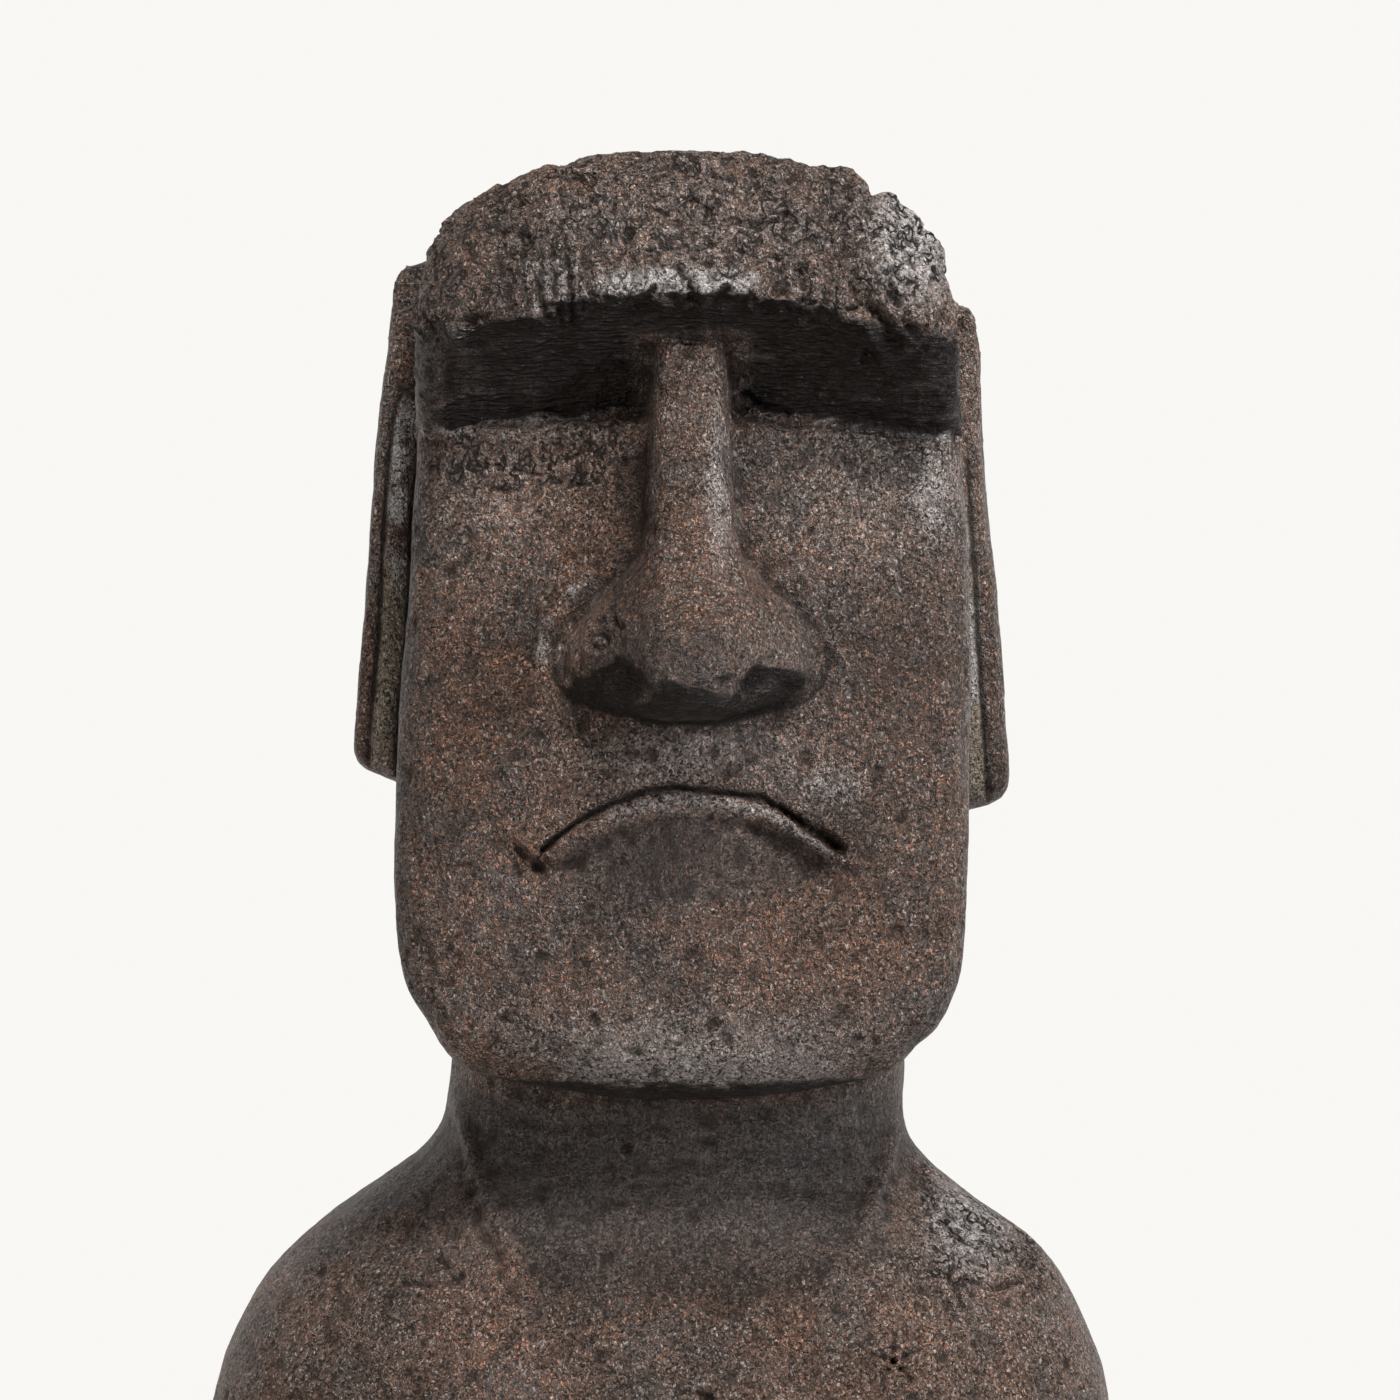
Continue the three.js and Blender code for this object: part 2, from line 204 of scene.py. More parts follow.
# The broad faces are evened out, and the nose, mouth, ears and hollow keep most of their edges.
points = read_points(bust.data)
x, y, z = points.T
nose = ramp(72, 60, np.abs(x - NOSE_X)) * ramp(380, 386, z) * ramp(552, 540, z) * ramp(-84, -92, y)
left_nostril = np.hypot((x + 16) / 15, (z - 402) / 12)
right_nostril = np.hypot((x - 44) / 15, (z - 401) / 10)
nose = nose * ramp(0.6, 1.1, np.minimum(left_nostril, right_nostril))
hollow = ramp(498, 504, z) * ramp(566, 560, z) * ramp(-60, -70, y)
mouth = ramp(76, 70, np.abs(x - 14.5)) * ramp(326, 330, z) * ramp(368, 362, z) * ramp(-90, -98, y)
ear = ramp(-44, -38, y) * ramp(34, 28, y) * ramp(346, 352, z) * ramp(592, 586, z)
ear = ear * ramp(105, 112, np.abs(x - 12))
edge = np.maximum(np.maximum(nose, hollow), np.maximum(mouth, ear))
rim = ramp(8, 3, z)
points = relax(bust.data, points, np.maximum(edge, rim), 40)
points = relax(bust.data, points, np.maximum(np.maximum(mouth * 0.8, ear * 0.5), rim), 6)
write_points(bust.data, points)

# Sculpting. Everything is a height in millimetres along the skin's own normal.
BROW_X = [-90, -72, -53, -32, 0, 40, 60, 80, 98, 111, 142]
BROW_Z = [546, 548, 549, 554, 557, 556, 552, 547, 545, 542, 538]
CREASE_X = [-90, -65, -10, 33, 78, 142]
CREASE_Z = [507.5, 511, 515, 516, 510.5, 501]
MOUTH = [(-46.5, 335), (-39.5, 341.5), (-30, 348.5), (-20, 354), (-7, 359), (7, 361.3)]
MOUTH += [(22, 359.7), (43, 356), (50, 352), (57, 347), (65, 341.3), (75, 334)]
NOSE_EDGE = [(-7, 456), (-15, 448), (-24.5, 440), (-34.5, 431), (-41.5, 420), (-42.5, 411)]
NOSE_EDGE += [(-40, 402), (-34, 396), (-25, 393), (-11, 390), (0, 387), (26, 387), (37, 390)]
NOSE_EDGE += [(51, 393), (60, 396), (66, 402), (68.5, 411), (67.5, 420), (60.5, 431), (50.5, 440)]
SMEAR = [(-29, 446), (-39, 436), (-46, 426), (-47.5, 414), (-46, 402)]
LEFT_EAR_Z = [370, 421, 480, 514, 531, 569]
LEFT_EAR_X = [-128.5, -124, -121.3, -118, -114.5, -111.6]
RIGHT_EAR_Z = [340, 400, 470, 540, 572]
RIGHT_EAR_X = [144, 140.5, 136.5, 134, 130]
GROOVES = [
    [(-54, 576), (-53, 564), (-51.5, 549)],
    [(-50, 568), (-47, 560), (-45, 550)],
    [(-42, 578), (-41, 563), (-39, 549)],
    [(-36, 580), (-35.5, 565), (-34, 548)],
]
CHEEK_CRACKS = [
    [(-76, 491), (-70, 492.5), (-64, 491.5)],
    [(-59, 490.5), (-52, 488.5), (-44, 488)],
    [(-41, 492), (-35, 494.5), (-31, 496.5)],
    [(-21, 492), (-13, 492.5)],
    [(-68, 482), (-60, 481)],
    [(-36, 484), (-27, 483)],
]
SHOULDER_CRACKS = [
    [(112, 196), (121, 188), (129, 179), (136, 173), (147, 168), (158, 160)],
    [(118, 178), (127, 171), (134, 168)],
    [(140, 178), (150, 172)],
    [(126, 158), (137, 154), (148, 153)],
    [(122, 167), (119, 158), (124, 148)],
]


def masks(points, normals):
    """Where things are on the face, each from 0 to 1."""
    x, y, z = points.T
    brow_line = np.interp(x, BROW_X, BROW_Z)
    crease_line = np.interp(x, CREASE_X, CREASE_Z)
    ahead = ramp(0.1, 0.5, -normals[:, 1]) * ramp(-40, -55, y)
    bridge = ramp(24, 20, np.abs(x - NOSE_X)) * ramp(-84, -90, y) * ramp(544, 541, z)
    socket = ramp(3, -3, z - brow_line) * ramp(-2, 2, z - crease_line) * ramp(-62, -70, y)
    ear = ramp(0.4, 0.8, -normals[:, 1]) * ramp(-22, -30, y) * ramp(-62, -54, y)
    steep = normals[:, 2]
    return {
        "ear": ear * ramp(340, 350, z) * ramp(592, 584, z),
        "from_left": x - np.interp(z, LEFT_EAR_Z, LEFT_EAR_X),
        "from_right": np.interp(z, RIGHT_EAR_Z, RIGHT_EAR_X) - x,
        "ahead": ahead,
        "brow_line": brow_line,
        "crease_line": crease_line,
        "forehead": ramp(-4, 4, z - brow_line) * ramp(-40, -55, y),
        "crown": ramp(0.1, 0.4, steep) * ramp(0.98, 0.8, steep) * ramp(500, 540, z),
        "brow": hump(z - brow_line, 6) * ramp(-86, -96, y),
        "socket": socket * (1 - bridge),
        "crease": hump(z - crease_line + 1, 4.5) * ramp(-62, -72, y) * (1 - bridge),
        "bridge": bridge,
    }


def carve(points, normals):
    x, y, z = points.T
    at = masks(points, normals)
    ahead, forehead, crown, brow = at["ahead"], at["forehead"], at["crown"], at["brow"]
    socket, crease = at["socket"], at["crease"]
    torn = shaken(points, 13, 3.5, 40)
    wavy = shaken(points, 5, 1.1, 50)
    inside, number = shards(torn, 12, 3)
    _, fine_number = shards(torn * [1, 1, 1.3], 6, 5)

    # The whole casting: slow waves, small lumps, sand, and a few hair cracks.
    height = 0.8 * swell(points, 75, 1, 2) + 0.35 * swell(points, 20, 2, 2)
    height += (0.3 + 0.4 * ahead) * swell(points * [1, 1, 0.75], 6.5, 3, 3)
    height -= ahead * 0.7 * ramp(0.35, 0.6, swell(points, 9, 38, 3))
    cracked = 0.5 * ramp(0.2, 0.7, swell(points, 45, 8, 2)) + forehead * 0.8
    cracked = np.clip(cracked, 0, 1) * ramp(0.0, 0.4, swell(points, 9, 9))
    height -= 0.8 * hump(inside, 0.08) * cracked

    # Forehead and crown: hewn, flaked and chipped along the edges, most towards the right.
    rough = 0.6 + 0.6 * ramp(-20, 60, x)
    height += forehead * rough * (0.7 * (number - 0.5) + 0.9 * (fine_number - 0.5))
    height += forehead * rough * 0.9 * swell(points, 4, 11, 2)
    height -= forehead * rough * 1.2 * ramp(0.3, 0.45, swell(points, 8, 17, 3))
    height += crown * (2.4 - 2.6 * ramp(0.5, 0.8, number) - 1.8 * fine_number)
    for place, radius, depth in [
        ((-98, 262), 12, 2.5), ((106, 252), 9, 3), ((166, 170), 24, -5),
        ((-38, 616), 3.5, 4), ((88, 604), 3, 5), ((57, 614), 5, 2), ((111, 590), 3, 2.5),
        ((97, 603), 4, -2.5), ((78, 611), 5, -2), ((-50, 617), 5, -2), ((-100, 596), 8, -2.5),
        ((-84, 608), 8, -2), ((103, 574), 5, 1.5), ((47, 598), 2.2, 2.5), ((30, 572), 2.5, 1.6),
    ]:
        height -= depth * hump(np.hypot(x - place[0], z - place[1]), radius) * ramp(20, -20, y)
    crumbs = 2.0 * (number - 0.5) + 2.2 * (fine_number - 0.5) + 1.5 * swell(points, 4, 12, 2)
    height += brow * crumbs
    for path in GROOVES:
        height += ahead * furrow(wavy, path, 1.2, 1.3, 0.9)

    # The brow's lower edge carries three crumbs and a chipped corner.
    for place, radius, lift in [((18, 557), 3.5, 3), ((-81, 542.5), 4.5, 3), ((85, 545), 6, 2)]:
        height += ahead * lift * hump(np.hypot(x - place[0], z - place[1]), radius)
    height += ahead * furrow(wavy, [(9, 568), (12, 562), (14, 556)], 2.0, 2.2, 0.8)
    height += ahead * furrow(wavy, [(78, 560), (86, 551), (95, 541)], 3, 2.6, 1.2)
    height += ahead * furrow(wavy, [(92, 562), (96, 552), (101, 545)], 2.2, 2.2, 1.2)

    # The hollow: dragged sideways with a wet brush, combed at its right end, with a ring-shaped
    # pit, and crumbs left along the crease.
    strokes = swell(points * [0.14, 0.7, 1], 3.2, 14, 2)
    height += socket * (0.8 * strokes + 0.5 * swell(points * [0.4, 1, 1], 9, 15, 2))
    comb = ramp(86, 94, x) * ramp(126, 118, x) * socket
    height += comb * 0.45 * np.sin((z + 0.12 * (x - 90)) * 2 * np.pi / 3.2)
    ring = np.hypot(x - 85, z - 534)
    height += ahead * (1.3 * hump(ring - 5, 1.6) - 3.2 * hump(ring, 3.2))
    height += crease * (2.0 * (fine_number - 0.45) + 1.8 * swell(points * [0.3, 1, 1], 4, 16, 2))
    rim_end = hump(x + 93, 5) * hump(z - 528, 16) * ramp(-50, -60, y)
    height += rim_end * (1.5 + 2.2 * (fine_number - 0.5))
    for side in (-1, 1):
        curl = [(NOSE_X + side * 40, 513), (NOSE_X + side * 28, 516), (NOSE_X + side * 22, 521)]
        height += ahead * furrow(wavy, curl, 1.4, 0.9, 1.0)

    # Cheeks: cracks on the left, a smeared rim against the left side of the nose.
    for path in CHEEK_CRACKS:
        height += ahead * furrow(wavy, path, 1.0, 1.3, 0.4)
    broken = ramp(0.0, 0.5, swell(points * [0.6, 1, 1], 9, 20, 2))
    height += ahead * hump(z - 492, 11) * ramp(-5, -20, x) * broken * 1.3 * (fine_number - 0.5)
    height += ahead * furrow(wavy, SMEAR, 2.6, -1.5) * (0.7 + 0.5 * swell(points, 5, 29, 2))
    height -= ramp(-84, -90, y) * 0.8 * hump(trail(points, NOSE_EDGE), 1.6)
    height += ahead * 0.5 * swell(points * [1.6, 1, 0.3], 5, 21) * ramp(-60, -80, x)

    # Nose: two arched nostrils, a ring-shaped dimple and a fold down the left wing.
    for path, width, depth in [
        ([(-26, 397), (-22, 405), (-15, 409), (-8, 405), (-5, 397)], 2.0, 1.3),
        ([(35, 401), (40, 406), (48, 405), (55, 400)], 1.8, 1.8),
        ([(36, 402), (43, 403.5), (46, 402)], 1.5, 1.4),
    ]:
        height -= depth * hump(trail(points, path), width) * ramp(-95, -105, y)
    dimple = np.hypot(x + 23.5, z - 419.5)
    rings = 0.7 * hump(dimple, 1.3) - 1.5 * hump(dimple - 3, 1.3) + 0.6 * hump(dimple - 5.5, 1.4)
    height += ahead * rings
    height += ahead * furrow(wavy, [(-13, 447), (-17, 440), (-18, 431), (-14, 424)], 1.4, 1.3, 0.8)
    height += at["bridge"] * 0.6 * swell(points * [1, 1, 0.5], 4, 24, 2)

    # Mouth: a thin cut that widens into a pocket at the right, over a lit lower lip. Below the lip
    # the skin was wiped smoother and lies a little deeper.
    lips = ramp(-84, -92, y) * ramp(300, 310, z) * ramp(395, 385, z)
    cut = trail(wavy, MOUTH)
    drop = np.interp(x, [p[0] for p in MOUTH], [p[1] for p in MOUTH]) - z
    width = 1.0 + 0.9 * ramp(46, 60, x) * ramp(78, 68, x)
    height -= lips * hump(cut, width) * (1.5 + 0.6 * ramp(46, 60, x) * ramp(80, 70, x))
    band = ramp(-48, -20, x) * ramp(84, 76, x)
    crumbly = 0.5 + 1.1 * swell(points, 3.5, 28, 2)
    height += lips * band * (0.9 * crumbly * hump(drop - 3.6, 2.2) + 0.9 * hump(drop + 7, 6))
    oval = np.hypot((x - 14) / 56, (z - 331) / 17)
    height -= lips * 0.9 * ramp(1.1, 0.7, oval) * ramp(6, 9, drop)
    for path, width, depth in [
        ([(-55, 340), (-51, 336), (-47, 332)], 1.7, -2.4),
        ([(-57, 337), (-53, 333)], 1.2, 1.8),
        ([(-49, 329.5), (-47.5, 328.5)], 2.0, 2.6),
        ([(60, 340), (70, 334), (79, 331)], 1.8, -1.8),
        ([(76, 334), (81, 338.5)], 1.6, -1.5),
        ([(70, 340), (74, 337)], 2.2, 1.2),
    ]:
        height -= lips * depth * hump(trail(points, path), width)

    # Ears: a dark outer roll, a flat inner strip and a deep groove against the head.
    for across, step in ((at["from_left"], 530), (at["from_right"], 507)):
        near = at["ear"] * ramp(-4, 0, across) * ramp(28, 24, across)
        height -= near * (2.2 * hump(across - 4.8, 1.6) + 3.0 * ramp(14, 18, across))
        height += near * 1.2 * hump(across - 10, 4.5)
        height -= near * 1.6 * hump(z - step, 2.0)
        height += near * 0.9 * swell(points * [1, 1, 0.4], 7, 30, 2)

    # Neck and chest: dragged skin under the chin, two long V-shaped ridges, a knot with a star of
    # cracks, scratches, a scar and flaked cracks on the right shoulder.
    neck = ramp(236, 228, z) * ramp(178, 200, z)
    height += neck * ahead * (1.0 * swell(points * [0.5, 1, 1.6], 8, 26, 2))
    for path in (
        [(99, 214), (92, 196), (84, 177), (75, 165), (65, 154)],
        [(-85, 225), (-76, 202), (-65, 180), (-53.5, 156)],
    ):
        height += ramp(-0.05, 0.3, -normals[:, 1]) * furrow(wavy, path, 3.5, -2.6)
    chest = ramp(0.0, 0.35, -normals[:, 1]) * ramp(215, 205, z)
    knot = np.hypot(x - 96, z - 129.5)
    height += chest * (0.9 * hump(knot - 7, 1.8) - 1.4 * ramp(6.5, 4.5, knot))
    for turn in range(5):
        angle = math.radians(20 + 72 * turn)
        tip = (96 + 10 * math.cos(angle), 129.5 + 10 * math.sin(angle))
        height += chest * furrow(points, [(96, 129.5), tip], 1.1, 1.8, 0.5)
    for path in SHOULDER_CRACKS:
        height += chest * furrow(wavy, path, 1.3, 2.0, 0.8)
    flaked = chest * ramp(96, 112, x) * ramp(140, 152, z)
    height += flaked * (1.5 * (number - 0.5) + 1.5 * (fine_number - 0.5))
    for path in ([(-104, 158), (-92, 157), (-80, 161)], [(-90, 168), (-84, 164)]):
        height += chest * furrow(wavy, path, 1.5, 1.0, 0.9)
    for shift in (0, 6, 13, 21):
        path = [(-8 + shift, 120), (-7 + shift, 104 - shift % 4)]
        height += chest * furrow(wavy, path, 1.5, -1.1)
    height += chest * furrow(wavy, [(17, 118), (26, 112), (38, 114)], 1.5, 1.6, 0.8)
    return height


normals = read_normals(bust.data)
height = carve(points, normals) * ramp(1, 12, points[:, 2])
write_points(bust.data, points + normals * height[:, None])

thin = bust.modifiers.new("thinned skin", "DECIMATE")
bust.data.calc_loop_triangles()
thin.ratio = FACES / len(bust.data.loop_triangles)
bake_modifiers(bust)
bust.data.shade_smooth()

# What the colouring needs to know: how proud or sunk the skin is, where the black wash was brushed
# on and where shade is painted in black, where the coat was wiped smooth and the neck painted
# darker as shade, and where it is glossy, with a painted sheen.


def spread(mesh, values, passes):
    """Softens the edges of a patch by a point or two."""
    ends, starts, count = read_edges(mesh)
    for _ in range(passes):
        values = 0.5 * values + 0.5 * np.bincount(ends, values[starts], len(values)) / count
    return values


def record(mesh, name, values):
    layer = mesh.attributes.new(name, "FLOAT", "POINT")
    layer.data.foreach_set("value", values.astype(np.float32))


points = read_points(bust.data)
normals = read_normals(bust.data)
x, y, z = points.T
at = masks(points, normals)
ahead = at["ahead"]
evened = relax(bust.data, points, np.zeros(len(points)), 3)
proud = spread(bust.data, np.sum((points - evened) * normals, axis=1), 1)
below_brow = at["brow_line"] - z

nose = ramp(62, 56, np.abs(x - NOSE_X)) * ramp(386, 392, z) * ramp(-104, -112, y)
under = ramp(0.0, -0.6, normals[:, 2])
nostrils = nose * ramp(412, 404, z) * np.maximum(
    hump(oval_from(points, (-16, 401), (12, 8)), 1),
    hump(oval_from(points, (44, 400), (13, 6.5)), 1),
)
chin_shade = ramp(-0.5, -0.85, normals[:, 2]) * ramp(205, 215, z) * ramp(246, 240, z)
# In the hollow under the brow the black is partly the bust's own black wash and partly painted
# shade under the overhanging brow.
chipped = z - at["brow_line"] + 1.8 * swell(points, 5, 33, 2)
black_wash_and_shade = ramp(0.8, -1.2, chipped) * ramp(-3, 2, z - at["crease_line"] + 2 * swell(points, 6, 34, 2))
black_wash_and_shade = black_wash_and_shade * ramp(-60, -68, y) * (1 - at["bridge"])
black_wash_and_shade = black_wash_and_shade * (0.3 + 0.7 * ramp(-92, -70, x + 0.35 * (530 - z)))
black_wash_and_shade = black_wash_and_shade * (0.5 + 0.5 * ramp(21, 36, np.abs(x - NOSE_X))) * (0.35 + 0.65 * ramp(136, 114, x))
root = np.hypot((x - 13) / 46, (z - 546) / 12)
black_wash_and_shade = black_wash_and_shade * (1 - 0.45 * hump(root, 1) * ramp(0.0, 0.3, swell(points, 4, 41, 2)))
black_wash_and_shade = black_wash_and_shade * (1 - 0.55 * ramp(0.15, 0.55, swell(points * [0.25, 1, 1], 4.5, 37, 2)))
# Painted shade in black: the nose's underside and nostrils, under the chin, and the mouth cut.
black_wash_and_shade = np.maximum(black_wash_and_shade, nose * np.maximum(under, nostrils))
black_wash_and_shade = np.maximum(black_wash_and_shade, 0.75 * chin_shade)
black_wash_and_shade = np.maximum(black_wash_and_shade, ramp(-95, -105, y) * hump(trail(points, MOUTH), 1.6) * 0.75)
# Painted shade: a dark outline round the nose, darker at its lower end.
edge = hump(trail(points, NOSE_EDGE), 1.8) * (0.5 + 0.3 * ramp(420, 400, z))
black_wash_and_shade = np.maximum(black_wash_and_shade, ramp(-84, -90, y) * edge)
# Painted shade: small holes darkened in black.
for place, radius in [((89, 369), 1.8), ((-13, 211), 2.2), ((-48, 329.5), 2.2), ((-14, 331), 1.2)]:
    hole = np.hypot(x - place[0], z - place[1])
    black_wash_and_shade = np.maximum(black_wash_and_shade, ramp(1.6 * radius, 0.9 * radius, hole) * ahead)
# Painted shade: the ears' outer roll and the groove against the head darkened in black.
for across in (at["from_left"], at["from_right"]):
    near = at["ear"] * ramp(-4, 0, across) * ramp(28, 24, across)
    black_wash_and_shade = np.maximum(black_wash_and_shade, near * (0.7 * hump(across - 4.8, 1.5) + 0.8 * ramp(14, 17, across)))
record(bust.data, "black_wash_and_shade", spread(bust.data, black_wash_and_shade, 1))

# Wiped smooth: the neck under the chin, the skin under the lower lip, the hollow and the lower
# part of the nose. These places also get a darker slate colour, which on the neck under the chin
# is painted shade.
wiped_and_shaded = ramp(240, 225, z) * ramp(150, 185, z) * ramp(110, 90, np.abs(x))
oval = np.hypot((x - 14) / 58, (z - 333) / 19)
lip_drop = np.interp(x, [p[0] for p in MOUTH], [p[1] for p in MOUTH]) - z
wiped_and_shaded = np.maximum(wiped_and_shaded, 0.8 * ramp(1.15, 0.75, oval) * ramp(5, 10, lip_drop) * ahead)
wiped_and_shaded = np.maximum(wiped_and_shaded, at["socket"])
wiped_and_shaded = np.maximum(wiped_and_shaded, nose * 0.55 * ramp(430, 415, z))
record(bust.data, "wiped_and_shaded", wiped_and_shaded)

# Glossy places, also painted paler as painted sheen and highlights: the middle of the brow's edge,
# the forehead's right corner, the ridges between its grooves, beside the crease, the right cheek,
# right of the mouth, the right side of the nose, the right shoulder, left of the nose, the lower
# lip, the jaw's lower edge and the ears' strips.
gloss_and_painted_sheen = 1.25 * ramp(-30, -18, x) * ramp(46, 34, x) * hump(below_brow + 6, 6) * ahead
gloss_and_painted_sheen = np.maximum(gloss_and_painted_sheen, 1.2 * hump(np.hypot((x - 102) / 18, (z - 582) / 30), 1))
ridges = [hump(x - middle, 1.1) for middle in (-52.5, -48.3, -44, -40, -37.5, -33)]
gloss_and_painted_sheen = np.maximum(gloss_and_painted_sheen, sum(ridges) * ramp(578, 570, z) * ramp(545, 549, z) * ahead)
crease_sheen = ramp(0.0, 0.35, swell(points * [0.4, 1, 1], 5, 39, 2))
crease_sheen *= hump(z - at["crease_line"] + 2, 3.0)
gloss_and_painted_sheen = np.maximum(gloss_and_painted_sheen, 0.9 * crease_sheen * ramp(-55, -65, y) * ramp(20, 26, np.abs(x - NOSE_X)))
gloss_and_painted_sheen = np.maximum(gloss_and_painted_sheen, 0.75 * hump(np.hypot((x - 112) / 14, (z - 480) / 24), 1))
gloss_and_painted_sheen = np.maximum(gloss_and_painted_sheen, 0.6 * hump(np.hypot((x - 70) / 20, (z - 362) / 10), 1) * ahead)
gloss_and_painted_sheen = np.maximum(gloss_and_painted_sheen, 0.7 * hump(np.hypot((x - 26) / 9, (z - 480) / 40), 1) * ahead)
gloss_and_painted_sheen = np.maximum(gloss_and_painted_sheen, hump(np.hypot((x - 130) / 24, (z - 178) / 24), 1))
gloss_and_painted_sheen *= ramp(0, -30, y)
sheen_breakup = ramp(-0.2, 0.4, swell(points, 6, 35, 2))
gloss_and_painted_sheen = np.maximum(gloss_and_painted_sheen, sheen_breakup * hump(trail(points, SMEAR), 4.0) * ahead)
lip = hump(lip_drop - 4.5, 3) * ahead * ramp(-30, -15, x) * ramp(78, 66, x)
gloss_and_painted_sheen = np.maximum(gloss_and_painted_sheen, 0.7 * lip)
gloss_and_painted_sheen = np.maximum(gloss_and_painted_sheen, 0.6 * hump(z - 246, 12) * ahead * ramp(75, 45, np.abs(x - 20)))
tan = np.zeros(len(points))
patchy = ramp(-0.7, 0.1, swell(points, 9, 36, 2))
for across, shine, low, high in (
    (at["from_left"], 1.6, 455, 515), (at["from_right"], 0.9, 400, 470),
):
    strip = at["ear"] * ramp(4, 6, across) * ramp(16, 14, across)
    shown = 0.2 + 0.8 * ramp(low - 12, low, z) * ramp(high + 10, high, z) + 0.7 * ramp(545, 555, z)
    gloss_and_painted_sheen = np.maximum(gloss_and_painted_sheen, shine * strip * np.clip(shown, 0, 1) * patchy)
    tan = np.maximum(tan, strip * ramp(low + 8, low - 8, z))
bits = at["ear"] * hump(at["from_right"] - 6, 2.6) * ramp(385, 392, z) * ramp(495, 485, z)
tan = np.maximum(tan, 1.6 * bits * ramp(0.0, 0.25, swell(points, 5, 43, 2)))
record(bust.data, "tan", tan)
record(bust.data, "gloss_and_painted_sheen", spread(bust.data, np.clip(gloss_and_painted_sheen, 0, 1.6), 1))
record(bust.data, "proud", proud)

# Lighter places, partly dry-brushing and partly painted light: the brow, the upper cheeks, the
# right side of the nose, round the mouth, the jaw's lower edge, the chest and the right shoulder.
# The rest is darker, and the places taken away below are painted shade.
drybrush_light_and_shade = np.zeros(len(points))
front = ramp(20, -20, y)
for place, reach, amount in [
    ((20, 585), (74, 32), 1.8), ((96, 580), (32, 36), 2.0), ((5, 562), (42, 8), 1.6),
    ((-58, 480), (34, 30), 1.7), ((82, 475), (40, 32), 1.9), ((26, 480), (12, 45), 1.0),
    ((50, 415), (20, 18), 1.8), ((10, 374), (56, 12), 3.2), ((14, 352), (46, 6), 2.0),
    ((-36, 420), (10, 26), 1.2), ((15, 256), (80, 16), 3.0), ((80, 365), (30, 20), 0.5),
    ((-90, 140), (60, 26), 0.5), ((10, 116), (40, 18), 0.9), ((130, 160), (50, 50), 1.0),
    ((-118, 470), (8, 110), 2.0), ((132, 440), (8, 110), 1.6), ((-48, 506), (46, 8), 2.4),
    ((86, 502), (46, 8), 2.0), ((22, 545), (30, 5), 0.8),
]:
    drybrush_light_and_shade = np.maximum(drybrush_light_and_shade, amount * front * hump(oval_from(points, place, reach), 1))
# Painted shade: darker at the brow's left end, on the face's left side, beside the nose, below the
# nose and the mouth, under the chin, and low on the cheeks and the jaw's sides.
for place, reach, amount in [
    ((-92, 540), (22, 60), 0.8), ((-106, 440), (7, 120), 0.6), ((-9, 460), (9, 60), 1.0),
    ((-80, 385), (30, 45), 0.5), ((95, 390), (24, 50), 0.5),
    ((14, 330), (50, 16), 0.8), ((14, 416), (44, 18), 1.0), ((14, 200), (90, 20), 0.5),
    ((-98, 310), (20, 40), 0.5), ((110, 310), (16, 40), 0.3), ((-13, 480), (10, 40), 0.5),
]:
    drybrush_light_and_shade -= amount * hump(oval_from(points, place, reach), 1)
# Painted shade: the ears' outer roll is darker.
for across in (at["from_left"], at["from_right"]):
    drybrush_light_and_shade -= 0.8 * at["ear"] * ramp(-6, -2, across) * ramp(6, 4, across)
# Painted shade: the V-shaped hollow under the chin, in the chin's shadow, is darker.
inside_v = ramp(6, -6, np.abs(x - 8) - np.interp(z, [150, 225], [54, 94]))
inside_v = inside_v * ramp(140, 165, z) * ramp(235, 225, z)
drybrush_light_and_shade -= 1.0 * inside_v * ramp(0.0, 0.3, -normals[:, 1])
record(bust.data, "drybrush_light_and_shade", drybrush_light_and_shade)
warm = np.zeros(len(points))
for place, reach in [
    ((-70, 390), (60, 90)), ((-80, 290), (50, 60)), ((-90, 140), (80, 70)), ((60, 130), (120, 50)),
    ((-60, 480), (50, 30)), ((14, 350), (60, 10)), ((-48, 335), (8, 8)), ((72, 336), (9, 8)),
    ((110, 150), (60, 60)), ((0, 440), (26, 40)), ((70, 300), (50, 50)),
]:
    warm = np.maximum(warm, hump(oval_from(points, place, reach), 1))
warm = np.clip(warm * ramp(-0.6, 0.4, swell(points, 22, 42, 3)) * (1 - inside_v), 0, 1)
record(bust.data, "warm", np.maximum(warm, 0.6 * ramp(0, 40, y)))
torn = np.maximum(at["forehead"] * (0.55 + 0.45 * ramp(-20, 60, x)), 0.8 * at["brow"])
torn = np.maximum(torn, ahead * hump(z - 490, 14) * ramp(-2, -16, x))
under_crease = hump(z - at["crease_line"] + 8, 8) * ramp(-60, -68, y) * (1 - at["bridge"])
torn = np.maximum(torn, 0.9 * under_crease)
torn = np.maximum(torn, 0.35 * ahead * ramp(330, 380, z) * (1 - at["bridge"]) * (1 - nose))
torn = np.maximum(torn, ramp(96, 114, x) * ramp(140, 154, z) * ramp(215, 205, z))
torn = np.maximum(torn, 0.9 * at["crown"])
record(bust.data, "torn", spread(bust.data, torn, 2))


